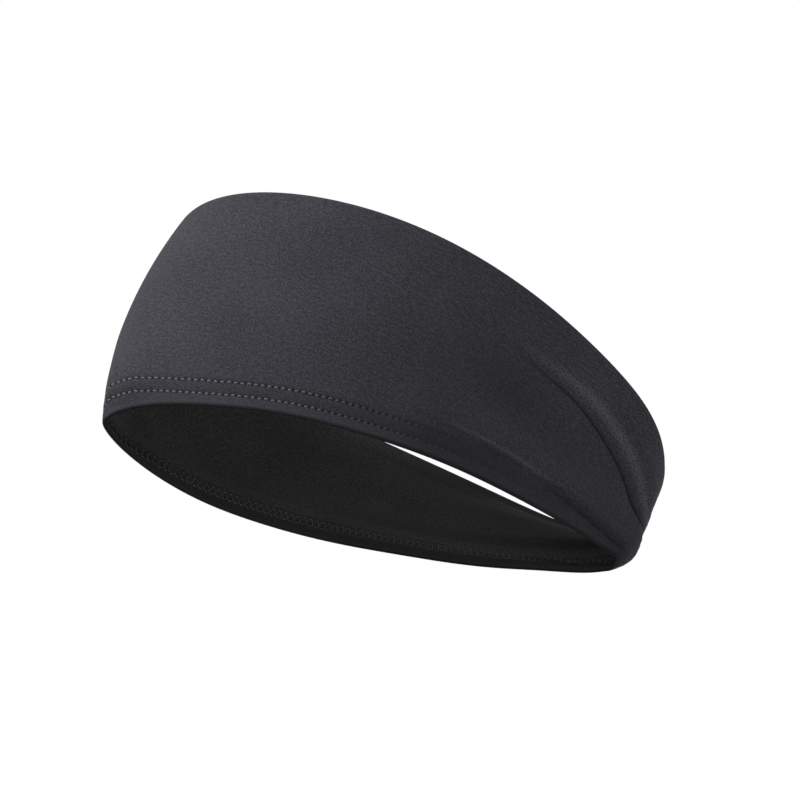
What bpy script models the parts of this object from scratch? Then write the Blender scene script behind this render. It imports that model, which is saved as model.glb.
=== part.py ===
"""Sports headband: a two-layer knit band, deep at the forehead and gathered in at the centre back.

The band stands on its hem at Z = 0. The forehead faces -Y, the centre back faces +Y and the
band is mirrored about X = 0. Everything is in metres.

Each place on the band has three coordinates: a column, counted from the forehead to the
centre back of one side, an inset, measured outward from the band's outer face, and a height.
"""

import math

import bmesh
import bpy
import numpy as np

MM = 0.001

# Hem loop: a drop, round at the forehead and pinched at the centre back.
HEM_HALF_LENGTH = 91.9 * MM
HEM_HALF_WIDTH = 24.6 * MM
HEM_SWELL = 1.32
HEM_PINCH = 0.67
TIP_RADIUS = 5.0 * MM

# Top loop: a rounder oval that flares out over the head, most of all behind the ears.
TOP_HALF_LENGTH = 98.5 * MM
TOP_HALF_WIDTH = 56.0 * MM
TOP_SWELL = 0.82
TOP_PINCH = 0.11
FLARE = 7.6 * MM
FLARE_ANGLE = 2.74
FLARE_SPREAD = 0.6

# Depth of the band from its hem to its top edge.
SIDE_DEPTH = 90.6 * MM
BACK_DEPTH = 34.4 * MM
FOREHEAD_RISE = 8.5 * MM
BACK_TAPER = 2.85
RISE_FADE = 4

# How far the wall swells out between its two edges.
SIDE_SWELL = 1.0 * MM
FOREHEAD_SWELL = 5.0 * MM

# Gathered fold: a valley that runs down to the centre back, with a roll of cloth above it.
FOLD_DEPTH = 5.0 * MM
FOLD_START = 0.56
FOLD_PEAK = 0.88
FOLD_AT_SEAM = 0.2
FOLD_HIGH = 0.70
FOLD_DROP = 0.35
FOLD_WIDTH = 0.12

# Cloth: one thickness, and the gap that touching layers keep.
CLOTH = 0.5 * MM
LAYER_GAP = 0.2 * MM
MIDDLE_GAP = 0.7 * MM
HEM_ALLOWANCE = 12.0 * MM
TOP_ALLOWANCE = 6.0 * MM
EASE_BAND = 4.0 * MM
EASE_MARGIN = 2.0 * MM
SEAM_GAP = 0.3 * MM

# Threads.
NEEDLE_RADIUS = 0.25 * MM
LOOPER_RADIUS = 0.25 * MM
LOOPER_GAP = 0.35 * MM
OVERLOCK_RADIUS = 0.4 * MM
BACK_SEAM_RADIUS = 0.15 * MM
LOWER_ROW = 4.9 * MM
UPPER_ROW = 9.7 * MM
BACK_SEAM_OFFSET = 0.6 * MM

# Mesh density.
COLUMNS = 32
CROWDING = 0.35
MIDDLE_ROW_ROOM = 0.2
CURVE_STEPS = 400
TIP_STEPS = 20
SEAM_THREAD_STEPS = 6

FOLD_RADIUS = CLOTH + LAYER_GAP / 2
FOLD_CENTRE = FOLD_RADIUS * math.sin(math.radians(60))
EDGE_GAP = 2 * CLOTH + 3 * LAYER_GAP
EDGE_STACK = 2 * CLOTH + EDGE_GAP
MIDDLE_STACK = 2 * CLOTH + MIDDLE_GAP


def column_shares():
    """Share of the half loop that lies before each column. They crowd towards the back."""
    share = np.linspace(0.0, 1.0, COLUMNS + 1)
    return (1.0 + CROWDING) * share - CROWDING * share**2


SHARES = column_shares()


def at_columns(points):
    """The points of a curve where the columns cross it."""
    steps = np.linalg.norm(np.diff(points, axis=0), axis=1)
    along = np.concatenate([[0.0], np.cumsum(steps)])
    wanted = SHARES * along[-1]
    return np.stack([np.interp(wanted, along, axis) for axis in points.T], axis=1)


def outward_normals(points):
    """Horizontal normals of half a loop that runs from the forehead to the centre back."""
    run = np.gradient(points[:, :2], axis=0)
    run /= np.linalg.norm(run, axis=1)[:, None]
    normals = np.stack([run[:, 1], -run[:, 0]], axis=1)
    normals[0] = (0.0, -1.0)
    normals[-1] = (0.0, 1.0)
    return normals


def drop_width(angle, swell, pinch):
    """Width of a drop at each angle, 1 at its widest, narrower towards the back."""
    width = np.sin(angle) ** swell * np.cos(angle / 2) ** pinch
    return width / width.max()


def hem_loop():
    """Half of the hem's loop: a pinched drop, offset by the radius of its rounded tip."""
    angle = np.linspace(0.0, math.pi, CURVE_STEPS)
    half_widths = HEM_HALF_WIDTH * drop_width(angle, HEM_SWELL, HEM_PINCH)
    core = np.stack([half_widths, -HEM_HALF_LENGTH * np.cos(angle)], axis=1)
    run = np.gradient(core, axis=0)
    run /= np.linalg.norm(run, axis=1)[:, None]
    side = core + TIP_RADIUS * np.stack([run[:, 1], -run[:, 0]], axis=1)
    side[0] = (0.0, -HEM_HALF_LENGTH - TIP_RADIUS)
    tip_start = math.atan2(-run[-1, 0], run[-1, 1])
    turn = np.linspace(tip_start, math.pi / 2, TIP_STEPS)[1:]
    tip = np.stack([np.cos(turn), np.sin(turn)], axis=1) * TIP_RADIUS
    tip[:, 1] += HEM_HALF_LENGTH
    points = at_columns(np.concatenate([side, tip]))
    return points, outward_normals(points)


def top_loop():
    """Half of the top edge's loop, with the height of the band at each column."""
    angle = np.linspace(0.0, math.pi, CURVE_STEPS)
    half_widths = TOP_HALF_WIDTH * drop_width(angle, TOP_SWELL, TOP_PINCH)
    plan = np.stack([half_widths, -TOP_HALF_LENGTH * np.cos(angle)], axis=1)
    flare = FLARE * np.exp(-(((angle - FLARE_ANGLE) / FLARE_SPREAD) ** 2))
    plan += outward_normals(plan) * flare[:, None]
    towards_back = (1.0 - np.cos(angle)) / 2
    height = SIDE_DEPTH + (BACK_DEPTH - SIDE_DEPTH) * towards_back**BACK_TAPER
    height += FOREHEAD_RISE * (1.0 - towards_back) ** RISE_FADE
    points = at_columns(np.column_stack([plan, height]))
    return points, outward_normals(points)


HEM, HEM_NORMALS = hem_loop()
TOP, TOP_NORMALS = top_loop()


def smooth(value):
    """Eases from 0 to 1 while value goes from 0 to 1."""
    value = min(max(value, 0.0), 1.0)
    return value * value * (3.0 - 2.0 * value)


def valley(round_half):
    """Where the gathered valley lies, as a share of the band's depth from the hem."""
    along = max(round_half - FOLD_START, 0.0) / (1.0 - FOLD_START)
    return FOLD_HIGH - FOLD_DROP * along**2


def fold_depth(round_half, up):
    """Depth of the gathered valley at a place on the band."""
    if round_half <= FOLD_PEAK:
        strength = smooth((round_half - FOLD_START) / (FOLD_PEAK - FOLD_START))
    else:
        falling = smooth((round_half - FOLD_PEAK) / (1.0 - FOLD_PEAK))
        strength = 1.0 - (1.0 - FOLD_AT_SEAM) * falling
    away = (up - valley(round_half)) / FOLD_WIDTH
    return FOLD_DEPTH * strength * math.exp(-(away**2))


def place(side, column, inset, height):
    """World position of a place on the band. side is 1 for +X and -1 for -X."""
    round_half = SHARES[column]
    up = height / TOP[column, 2]
    plan = HEM[column] * (1.0 - up) + TOP[column, :2] * up
    normal = HEM_NORMALS[column] * (1.0 - up) + TOP_NORMALS[column] * up
    normal /= np.linalg.norm(normal)
    forward = max(-HEM[column, 1] / HEM_HALF_LENGTH, 0.0)
    swell = (SIDE_SWELL + FOREHEAD_SWELL * forward) * 4.0 * up * (1.0 - up)
    plan = plan + normal * (swell + inset - fold_depth(round_half, up))
    x = side * (plan[0] + SEAM_GAP / 2 * round_half)
    return (x, plan[1], height)


def row_heights(column):
    """Heights of the wall's rows at a column. The middle row keeps as near the valley as it can."""
    depth = TOP[column, 2]
    low = HEM_ALLOWANCE + EASE_MARGIN
    high = depth - TOP_ALLOWANCE - EASE_MARGIN
    thin_low = low + EASE_BAND
    thin_high = high - EASE_BAND
    room = (thin_high - thin_low) * MIDDLE_ROW_ROOM
    wanted = valley(SHARES[column]) * depth
    middle = min(max(wanted, thin_low + room), thin_high - room)
    lower = (thin_low + middle) / 2
    upper = (middle + thin_high) / 2
    hem_rows = (FOLD_CENTRE, LOWER_ROW, UPPER_ROW, low)
    return [*hem_rows, thin_low, lower, middle, upper, thin_high, high, depth - FOLD_CENTRE]


def stack_thickness(height, depth):
    """Distance between the band's two visible faces: thick where allowances are turned in."""
    low = HEM_ALLOWANCE + EASE_MARGIN
    high = depth - TOP_ALLOWANCE - EASE_MARGIN
    into_middle = min(height - low, high - height) / EASE_BAND
    return EDGE_STACK + (MIDDLE_STACK - EDGE_STACK) * smooth(into_middle)


def panel_section(column):
    """Outline of a panel as (inward, height) pairs, inward counted from its visible face.

    The wall runs up the middle, and an allowance is turned in behind it at each end.
    """
    depth = TOP[column, 2]
    near = CLOTH + LAYER_GAP
    far = near + CLOTH
    centre = CLOTH + LAYER_GAP / 2
    flat = FOLD_RADIUS / 2
    rows = row_heights(column)
    visible = [(0.0, height) for height in reversed(rows)]
    hidden = [(CLOTH, height) for height in rows]
    hem_fold = [(centre - flat, 0.0), (centre + flat, 0.0), (far, FOLD_CENTRE)]
    hem_allowance = [(far, HEM_ALLOWANCE), (near, HEM_ALLOWANCE), (near, FOLD_CENTRE)]
    top_low = depth - TOP_ALLOWANCE
    top_fold = depth - FOLD_CENTRE
    top_allowance = [(near, top_fold), (near, top_low), (far, top_low), (far, top_fold)]
    top_turn = [(centre + flat, depth), (centre - flat, depth)]
    return visible + hem_fold + hem_allowance + hidden + top_allowance + top_turn


def outer_inset(inward, _thickness):
    return -inward


def lining_inset(inward, thickness):
    return inward - thickness


def make_material(name, colour, roughness):
    material = bpy.data.materials.new(name)
    material.use_nodes = True
    shader = material.node_tree.nodes["Principled BSDF"]
    shader.inputs["Base Color"].default_value = (*colour, 1.0)
    shader.inputs["Roughness"].default_value = roughness
    shader.inputs["Metallic"].default_value = 0.0
    return material


def link(name, data, material):
    """Puts the data into the scene as a part of the headband."""
    part = bpy.data.objects.new(name, data)
    data.materials.append(material)
    PARTS.objects.link(part)
    part.parent = STAND
    return part


def turn_faces_out(mesh):
    shape = bmesh.new()
    shape.from_mesh(mesh)
    bmesh.ops.recalc_face_normals(shape, faces=shape.faces)
    shape.to_mesh(mesh)
    shape.free()


def loft_panel(name, inset_of, material):
    """A strip of cloth from the back seam round the forehead to the back seam again."""
    right = [(1, column) for column in range(COLUMNS, -1, -1)]
    left = [(-1, column) for column in range(1, COLUMNS + 1)]
    points = []
    for side, column in right + left:
        depth = TOP[column, 2]
        for inward, height in panel_section(column):
            inset = inset_of(inward, stack_thickness(height, depth))
            points.append(place(side, column, inset, height))
    size = len(panel_section(COLUMNS))
    last = len(points) - size
    faces = [list(range(size)), list(range(last + size - 1, last - 1, -1))]
    for start in range(0, last, size):
        for corner in range(size):
            following = (corner + 1) % size
            low, high = start + corner, start + following
            faces.append([low, low + size, high + size, high])
    mesh = bpy.data.meshes.new(name)
    mesh.from_pydata(points, [], faces)
    turn_faces_out(mesh)
    mesh.shade_smooth()
    mesh.set_sharp_from_angle(angle=math.radians(40))
    return link(name, mesh, material)


def thread(name, points, radius, material, cyclic):
    """A round thread along the points."""
    curve = bpy.data.curves.new(name, "CURVE")
    curve.dimensions = "3D"
    curve.bevel_depth = radius
    curve.bevel_resolution = 2
    curve.use_fill_caps = not cyclic
    spline = curve.splines.new("POLY")
    spline.points.add(len(points) - 1)
    for point, position in zip(spline.points, points):
        point.co = (*position, 1.0)
    spline.use_cyclic_u = cyclic
    return link(name, curve, material)


def ring_columns():
    """Every column once, all the way round the band."""
    right = [(1, column) for column in range(COLUMNS + 1)]
    return right + [(-1, column) for column in range(COLUMNS - 1, 0, -1)]


def ring_thread(name, inset, height_of, radius, material):
    points = [
        place(side, column, inset, height_of(TOP[column, 2]))
        for side, column in ring_columns()
    ]
    return thread(name, points, radius, material, True)


def looper_points(inset):
    """A zigzag across both stitch rows, on the inside of the hem."""
    ring = ring_columns()
    points = []
    for index, (side, column) in enumerate(ring):
        next_side, next_column = ring[(index + 1) % len(ring)]
        low = np.array(place(side, column, inset, LOWER_ROW))
        high = np.array(place(side, column, inset, UPPER_ROW))
        next_high = np.array(place(next_side, next_column, inset, UPPER_ROW))
        points += [low, (high + next_high) / 2]
    return points


def back_seam_points(offset):
    """A short upright line between the two layers at the centre back."""
    inset = -MIDDLE_STACK / 2
    low = HEM_ALLOWANCE + EASE_MARGIN
    high = BACK_DEPTH - TOP_ALLOWANCE - 2 * EASE_MARGIN
    points = []
    for height in np.linspace(low, high, SEAM_THREAD_STEPS):
        x, y, z = place(1, COLUMNS, inset, height)
        points.append((x + offset - SEAM_GAP / 2, y, z))
    return points


def centre_on_stand():
    """Moves the stand so that the band's footprint is centred on the origin."""
    reach = [corner.co.y for corner in bpy.data.meshes["outer_panel"].vertices]
    STAND.location.y = -(min(reach) + max(reach)) / 2


for old in list(bpy.data.objects):
    bpy.data.objects.remove(old, do_unlink=True)

PARTS = bpy.data.collections.new("sports_headband")
bpy.context.scene.collection.children.link(PARTS)
STAND = bpy.data.objects.new("headband_stand", None)
PARTS.objects.link(STAND)

CHARCOAL = make_material("charcoal_knit", (0.068, 0.066, 0.078), 0.85)
BLACK = make_material("black_lining_knit", (0.017, 0.017, 0.017), 0.9)
NEEDLE = make_material("charcoal_needle_thread", (0.10, 0.10, 0.11), 0.6)
LOOPER = make_material("black_looper_thread", (0.02, 0.02, 0.02), 0.7)
OVERLOCK = make_material("black_seam_thread", (0.012, 0.012, 0.012), 0.7)

loft_panel("outer_panel", outer_inset, CHARCOAL)
loft_panel("lining_panel", lining_inset, BLACK)

NEEDLE_INSET = LAYER_GAP + NEEDLE_RADIUS
ring_thread("hem_needle_thread_lower", NEEDLE_INSET, lambda depth: LOWER_ROW, NEEDLE_RADIUS, NEEDLE)
ring_thread("hem_needle_thread_upper", NEEDLE_INSET, lambda depth: UPPER_ROW, NEEDLE_RADIUS, NEEDLE)

LOOPER_INSET = -(EDGE_STACK + LOOPER_GAP + LOOPER_RADIUS)
thread("hem_looper_thread", looper_points(LOOPER_INSET), LOOPER_RADIUS, LOOPER, True)

TOP_SEAM_DROP = TOP_ALLOWANCE + LAYER_GAP + OVERLOCK_RADIUS
TOP_SEAM_INSET = -EDGE_STACK / 2
ring_thread("top_seam_thread", TOP_SEAM_INSET, lambda depth: depth - TOP_SEAM_DROP, OVERLOCK_RADIUS, OVERLOCK)

RIGHT_SEAM = back_seam_points(BACK_SEAM_OFFSET)
LEFT_SEAM = back_seam_points(-BACK_SEAM_OFFSET)
thread("outer_back_seam_thread", RIGHT_SEAM, BACK_SEAM_RADIUS, OVERLOCK, False)
thread("lining_back_seam_thread", LEFT_SEAM, BACK_SEAM_RADIUS, OVERLOCK, False)

centre_on_stand()
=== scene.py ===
"""Looks of a sports headband: charcoal marl knit outside, black knit lining, twin-needle hem.

The band stands on its hem at Z = 0, with the forehead towards -Y and the centre back towards +Y.
Everything is in metres. Each place on the cloth has four coordinates: the side (1 for +X, -1 for
-X), the share of the half loop (0 at the forehead, 1 at the centre back), the height above the
hem edge, and the inset, measured outward from the band's outer face.
"""

import math

import bmesh
import bpy
import numpy as np
from mathutils import Matrix, Vector


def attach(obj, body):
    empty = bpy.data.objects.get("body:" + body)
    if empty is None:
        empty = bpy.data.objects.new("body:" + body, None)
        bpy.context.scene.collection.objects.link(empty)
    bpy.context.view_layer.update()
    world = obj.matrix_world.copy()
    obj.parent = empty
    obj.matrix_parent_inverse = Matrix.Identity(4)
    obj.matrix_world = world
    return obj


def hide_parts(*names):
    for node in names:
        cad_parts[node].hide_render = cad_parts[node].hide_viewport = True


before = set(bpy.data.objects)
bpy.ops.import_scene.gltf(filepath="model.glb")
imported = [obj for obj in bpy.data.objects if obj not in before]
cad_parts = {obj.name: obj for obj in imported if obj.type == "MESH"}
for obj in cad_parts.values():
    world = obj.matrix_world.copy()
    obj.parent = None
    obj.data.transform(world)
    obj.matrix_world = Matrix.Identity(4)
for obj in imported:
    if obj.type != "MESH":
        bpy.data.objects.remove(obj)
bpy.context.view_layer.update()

MM = 0.001

# ---------------------------------------------------------------- gentle curves
#
# In the constants below, a range is the (start, end) over which something grows or fades, and a
# hill is the (size, middle, half width) of something that is strongest at its middle.


def smooth(value, start=0.0, end=1.0):
    """Eases from 0 to 1 while value goes from start to end."""
    value = np.clip((value - start) / (end - start), 0.0, 1.0)
    return value * value * (3.0 - 2.0 * value)


def fading(value, start, end):
    return 1.0 - smooth(value, start, end)


def span(value, grow, fade):
    """Eases in over the range grow, and out again over the range fade."""
    return smooth(value, *grow) * fading(value, *fade)


def bell(value, width):
    return np.exp(-((value / width) ** 2))


def spike(value, width):
    """1 at 0, with a sharp tip there."""
    return np.exp(-np.abs(value) / width)


def hill(value, size, middle, width):
    return size * bell(value - middle, width)


def hills(value, places):
    return sum(hill(value, *place) for place in places)


# ---------------------------------------------------------------- both edges of the band

# Hem loop: a drop, round at the forehead and pinched at the centre back.
HEM_HALF_LENGTH = 91.9 * MM
HEM_HALF_WIDTH = 24.6 * MM
HEM_SWELL = 1.32
HEM_PINCH = 0.67
TIP_RADIUS = 5.0 * MM
BROW_RADIUS = 2.6 * MM
BROW_ANGLE = 0.7

# Top loop: a rounder oval that flares out over the head, most of all behind the ears.
TOP_HALF_LENGTH = 98.5 * MM
TOP_HALF_WIDTH = 56.0 * MM
TOP_SWELL = 0.82
TOP_PINCH = 0.11
TOP_FLARE = (7.6 * MM, 2.74, 0.6)

# Depth of the band from its hem to its top edge.
SIDE_DEPTH = 90.6 * MM
BACK_DEPTH = 34.4 * MM
FOREHEAD_RISE = 8.5 * MM
BACK_TAPER = 2.85
RISE_FADE = 4

# Detail of the loops, and the length of one stitch along the hem.
LOOP_STEPS = 1600
TIP_STEPS = 60
STITCH = 2.35 * MM


def unit(vectors):
    return vectors / np.linalg.norm(vectors, axis=-1)[..., None]


def half_loop_normals(points):
    """Horizontal normals of half a loop that runs from the forehead to the centre back."""
    run = unit(np.gradient(points[:, :2], axis=0))
    normals = np.stack([run[:, 1], -run[:, 0]], axis=1)
    normals[0] = (0.0, -1.0)
    normals[-1] = (0.0, 1.0)
    return normals


def evenly_spaced(points):
    """The same open curve as LOOP_STEPS + 1 points at equal distances, and its length."""
    steps = np.linalg.norm(np.diff(points, axis=0), axis=1)
    along = np.concatenate([[0.0], np.cumsum(steps)])
    wanted = np.linspace(0.0, along[-1], LOOP_STEPS + 1)
    spaced = np.stack([np.interp(wanted, along, axis) for axis in points.T], axis=1)
    return spaced, along[-1]


def drop_width(angle, swell, pinch):
    """Width of a drop at each angle, 1 at its widest, narrower towards the back."""
    width = np.sin(angle) ** swell * np.cos(angle / 2) ** pinch
    return width / width.max()


def hem_loop():
    """Half of the hem's loop with its normals, and its length."""
    angle = np.linspace(0.0, math.pi, LOOP_STEPS)
    radius = BROW_RADIUS + (TIP_RADIUS - BROW_RADIUS) * smooth(angle, 0.0, BROW_ANGLE)
    half_widths = HEM_HALF_WIDTH * drop_width(angle, HEM_SWELL, HEM_PINCH)
    half_lengths = HEM_HALF_LENGTH + TIP_RADIUS - radius
    core = np.stack([half_widths, -half_lengths * np.cos(angle)], axis=1)
    run = unit(np.gradient(core, axis=0))
    side = core + radius[:, None] * np.stack([run[:, 1], -run[:, 0]], axis=1)
    side[0] = (0.0, -HEM_HALF_LENGTH - TIP_RADIUS)
    tip_start = math.atan2(-run[-1, 0], run[-1, 1])
    turn = np.linspace(tip_start, math.pi / 2, TIP_STEPS)[1:]
    tip = np.stack([np.cos(turn), np.sin(turn)], axis=1) * TIP_RADIUS
    tip[:, 1] += HEM_HALF_LENGTH
    points, length = evenly_spaced(np.concatenate([side, tip]))
    return np.column_stack([points, half_loop_normals(points)]), length


def top_loop():
    """Half of the top edge's loop with the band's depth and the loop's normals."""
    angle = np.linspace(0.0, math.pi, LOOP_STEPS)
    half_widths = TOP_HALF_WIDTH * drop_width(angle, TOP_SWELL, TOP_PINCH)
    plan = np.stack([half_widths, -TOP_HALF_LENGTH * np.cos(angle)], axis=1)
    plan += half_loop_normals(plan) * hill(angle, *TOP_FLARE)[:, None]
    towards_back = (1.0 - np.cos(angle)) / 2
    depth = SIDE_DEPTH + (BACK_DEPTH - SIDE_DEPTH) * towards_back**BACK_TAPER
    depth += FOREHEAD_RISE * (1.0 - towards_back) ** RISE_FADE
    points, _ = evenly_spaced(np.column_stack([plan, depth]))
    return np.column_stack([points, half_loop_normals(points)])


HEM, HEM_LENGTH = hem_loop()
TOP = top_loop()
STITCHES_PER_HALF = round(HEM_LENGTH / STITCH)
ALL_STITCHES = 2 * STITCHES_PER_HALF


def sample(loop, share):
    """The loop's columns of numbers at each share of its length."""
    known = np.linspace(0.0, 1.0, LOOP_STEPS + 1)
    return [np.interp(share, known, column) for column in loop.T]


def depth_at(share):
    return sample(TOP, share)[2]


# ---------------------------------------------------------------- thickness of the cloth

# One layer, the gaps between layers, and what is turned in at each edge.
CLOTH = 0.4 * MM
LAYER_GAP = 0.06 * MM
MIDDLE_GAP = 0.6 * MM
HEM_ALLOWANCE = 12.0 * MM
TOP_ALLOWANCE = 6.0 * MM
EASE_BAND = 4.0 * MM
EASE_MARGIN = 2.0 * MM
LINING_RECESS = 0.25 * MM
FOLD_RADIUS = CLOTH + LAYER_GAP / 2
EDGE_STACK = 4 * CLOTH + 3 * LAYER_GAP
MIDDLE_STACK = 2 * CLOTH + MIDDLE_GAP


def stack_thickness(height, depth):
    """Distance between the band's two visible faces: thick where allowances are turned in."""
    low = HEM_ALLOWANCE + EASE_MARGIN
    high = depth - TOP_ALLOWANCE - EASE_MARGIN
    into_middle = np.minimum(height - low, high - height) / EASE_BAND
    return EDGE_STACK + (MIDDLE_STACK - EDGE_STACK) * smooth(into_middle)


# ---------------------------------------------------------------- gathers at the back

# Where the crease runs: parts of the band's depth, then its lift and hook on the way.
CREASE_START = 0.56
CREASE_HIGH = 0.70
CREASE_FALL = 0.30
CREASE_LIFT = 2.5 * MM
CREASE_LIFT_RANGE = (0.66, 0.78)
CREASE_HOOK = (0.6 * MM, 0.94, 0.03)

# Ranges of shares over which the gathers and their crease grow and fade.
GATHERS_GROW, GATHERS_FADE = (0.50, 0.84), (0.93, 1.0)
CREASE_GROW, CREASE_FADE = (0.62, 0.80), (0.965, 1.0)

# Depth of each fold, and its width below and above the crease.
HOLLOW_DEPTH, HOLLOW_WIDTHS = 4.0 * MM, (18.0 * MM, 2.9 * MM)
VALLEY_DEPTH, VALLEY_WIDTHS = 0.5 * MM, (6.0 * MM, 1.8 * MM)
CREASE_DEPTH, CREASE_WIDTHS = 1.6 * MM, (0.6 * MM, 0.3 * MM)
LINING_DEPTH, LINING_WIDTHS = 6.3 * MM, (19.0 * MM, 11.0 * MM)

# Hills above the crease.
ROLL = (0.9 * MM, 6.5 * MM, 5.0 * MM)
RIDGE = (0.15 * MM, 3.0 * MM, 1.0 * MM)

# Ranges of distances from both edges over which the lining leaves the outer cloth's folds.
LINING_FROM_HEM = (12.5 * MM, 25.0 * MM)
LINING_FROM_TOP = (2.0 * MM, 10.0 * MM)
LINING_PUFF = 0.3


def crease_height(share, depth):
    """Height of the crease that runs from the middle of the wall down to the centre back."""
    along = np.maximum(share - CREASE_START, 0.0) / (1.0 - CREASE_START)
    lift = CREASE_LIFT * smooth(share, *CREASE_LIFT_RANGE) + hill(share, *CREASE_HOOK)
    return (CREASE_HIGH - CREASE_FALL * along**3) * depth + lift


def two_sided(above, widths):
    """The first width below the crease, and the second above it."""
    return np.where(above < 0.0, *widths)


def gathered_fold(share, height, depth):
    """The gathers at the back: a broad hollow, a sharp crease and a roll of cloth above it."""
    above = height - crease_height(share, depth)
    hollow = HOLLOW_DEPTH * bell(above, two_sided(above, HOLLOW_WIDTHS))
    valley = VALLEY_DEPTH * bell(above, two_sided(above, VALLEY_WIDTHS))
    crease = CREASE_DEPTH * spike(above, two_sided(above, CREASE_WIDTHS))
    broad = span(share, GATHERS_GROW, GATHERS_FADE) * (hill(above, *ROLL) - hollow - valley)
    sharp = span(share, CREASE_GROW, CREASE_FADE) * (hill(above, *RIDGE) - crease)
    return broad + sharp


def lining_fold(share, height, depth):
    """The lining hangs clear of the outer cloth's gathers, in one smooth hollow."""
    above = height - crease_height(share, depth)
    strength = span(share, GATHERS_GROW, GATHERS_FADE)
    return -LINING_DEPTH * strength * bell(above, two_sided(above, LINING_WIDTHS))


# ---------------------------------------------------------------- shape near the hem

# Line along which loose cloth hangs over the tight hem: its height at one share, and its slope.
PUFF_HEIGHT = 12.5 * MM
PUFF_SHARE = 0.66
PUFF_SLOPE = 26.0 * MM

# The puff, and the groove under it towards the back.
PUFF_DEPTH = 2.5 * MM
PUFF_GROW, PUFF_FADE = (0.50, 0.72), (0.94, 1.0)
PUFF_RISE, PUFF_FALL = (-1.5 * MM, 0.5 * MM), (1.0 * MM, 17.0 * MM)
GROOVE_DEPTH = 0.9 * MM
GROOVE_GROW = (0.76, 0.84)
GROOVE_DROP = 1.4 * MM
GROOVE_WIDTH = 0.4 * MM

# The draw of the hem along the sides.
DRAW_DEPTH = 1.5 * MM
DRAW_GROW, DRAW_FADE = (0.05, 0.25), (0.75, 0.95)
DRAW_RISE = (0.0, 5.5 * MM)
HEM_REACH = (12.0 * MM, 40.0 * MM)

# The forehead above the hem: full on both sides of a blunt front.
BROW_HILLS = ((2.2 * MM, 0.065, 0.05), (0.8 * MM, 0.03, 0.018))
BROW_RISE = (0.0, 8.0 * MM)
FRONT_HOLLOW = (0.8 * MM, 0.0, 0.022)
FRONT_RISE, FRONT_FALL = (0.0, 10.0 * MM), (18.0 * MM, 45.0 * MM)

# The centre back: tucked in at the hem, with a heel above it.
TUCK_DEPTH = 3.6 * MM
TUCK_HEIGHT = 2.2 * MM
HEEL = (1.2 * MM, 10.0 * MM, 6.0 * MM)
TUCK_GROW = (0.93, 1.0)

# Hills of distance along X by which the hem isn't quite even, and where they end.
SWAYS = ((-1.3 * MM, 0.21, 0.12), (0.85 * MM, 0.63, 0.14), (-0.9 * MM, 0.93, 0.07))
SLACKS = ((0.4 * MM, 0.40, 0.20), (0.6 * MM, 0.72, 0.13))
LOOSE_BACK = (0.9 * MM, 0.93, 0.07)
TIGHT_FRONT = (0.6 * MM, 0.14, 0.10)
AT_BACK_SEAM = (0.97, 1.0)
AT_FOREHEAD = (0.0, 0.03)


def puff_height(share):
    """Height of the line along which loose cloth hangs over the tight hem."""
    return PUFF_HEIGHT - (share - PUFF_SHARE) * PUFF_SLOPE


def hem_puff(share, height):
    """Cloth that bulges over the tight hem, with a groove under it towards the back."""
    above = height - puff_height(share)
    ledge = span(share, PUFF_GROW, PUFF_FADE) * span(above, PUFF_RISE, PUFF_FALL)
    groove = span(share, GROOVE_GROW, PUFF_FADE) * spike(above + GROOVE_DROP, GROOVE_WIDTH)
    return PUFF_DEPTH * ledge - GROOVE_DEPTH * groove


def hem_draw(share, height):
    """The wall is drawn in just above the hem edge, most of all along the sides."""
    return -DRAW_DEPTH * span(share, DRAW_GROW, DRAW_FADE) * span(height, DRAW_RISE, HEM_REACH)


def brow(share, height):
    """The forehead is full just above the hem, and a little blunt at its very front."""
    sides = hills(share, BROW_HILLS) * span(height, BROW_RISE, HEM_REACH)
    return sides - hill(share, *FRONT_HOLLOW) * span(height, FRONT_RISE, FRONT_FALL)


def back_tuck(share, height):
    """How far the centre back is drawn forward at the hem."""
    tuck = TUCK_DEPTH * spike(height, TUCK_HEIGHT) - hill(height, *HEEL)
    return tuck * smooth(share, *TUCK_GROW)


def sway(share):
    """How far the hem strays to +X from the middle line, as a real hem that isn't quite even."""
    return hills(share, SWAYS) - hills(share, SLACKS)


def ease(share):
    """How much wider than its loop each side of the hem is: tight in front, loose at the back."""
    loose = hills(share, (LOOSE_BACK, *SLACKS)) * fading(share, *AT_BACK_SEAM)
    return loose - hill(share, *TIGHT_FRONT) * smooth(share, *AT_FOREHEAD)


# ---------------------------------------------------------------- what stitches do to the cloth

# Heights of the needle rows, and the dent that each row and each hole makes.
LOWER_ROW = 4.9 * MM
UPPER_ROW = 9.7 * MM
ROW_DENT = 0.15 * MM
ROW_WIDTH = 0.9 * MM
HOLE_DENT = 0.45 * MM
HOLE_LENGTH = 0.52 * MM
HOLE_WIDTH = 0.50 * MM
BETWEEN_ROWS = (0.10 * MM, (LOWER_ROW + UPPER_ROW) / 2, 1.4 * MM)
LOOSENESS = 0.7
LOOSE_RANGE = (0.42, 0.68)

# Dents of the back seam, of its puckers and of the top edge.
SEAM_DENT = (0.45 * MM, 0.0, 1.1 * MM)
PUCKER_DENT = 0.08 * MM
PUCKER_LENGTH = 3.4 * MM
PUCKER_REACH = 4.0 * MM
TOP_DENT = (0.12 * MM, 0.0, 2.0 * MM)


def hole_at(share, height):
    """1 at each needle hole of the hem, fading to 0 around it."""
    from_hole = (share * STITCHES_PER_HALF + 0.5) % 1.0 - 0.5
    rows = bell(height - LOWER_ROW, HOLE_WIDTH) + bell(height - UPPER_ROW, HOLE_WIDTH)
    return bell(from_hole * STITCH, HOLE_LENGTH) * rows


def tightness(share):
    """How hard the stitches pull: less towards the back, where the cloth is loose."""
    return 1.0 - LOOSENESS * smooth(share, *LOOSE_RANGE)


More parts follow.
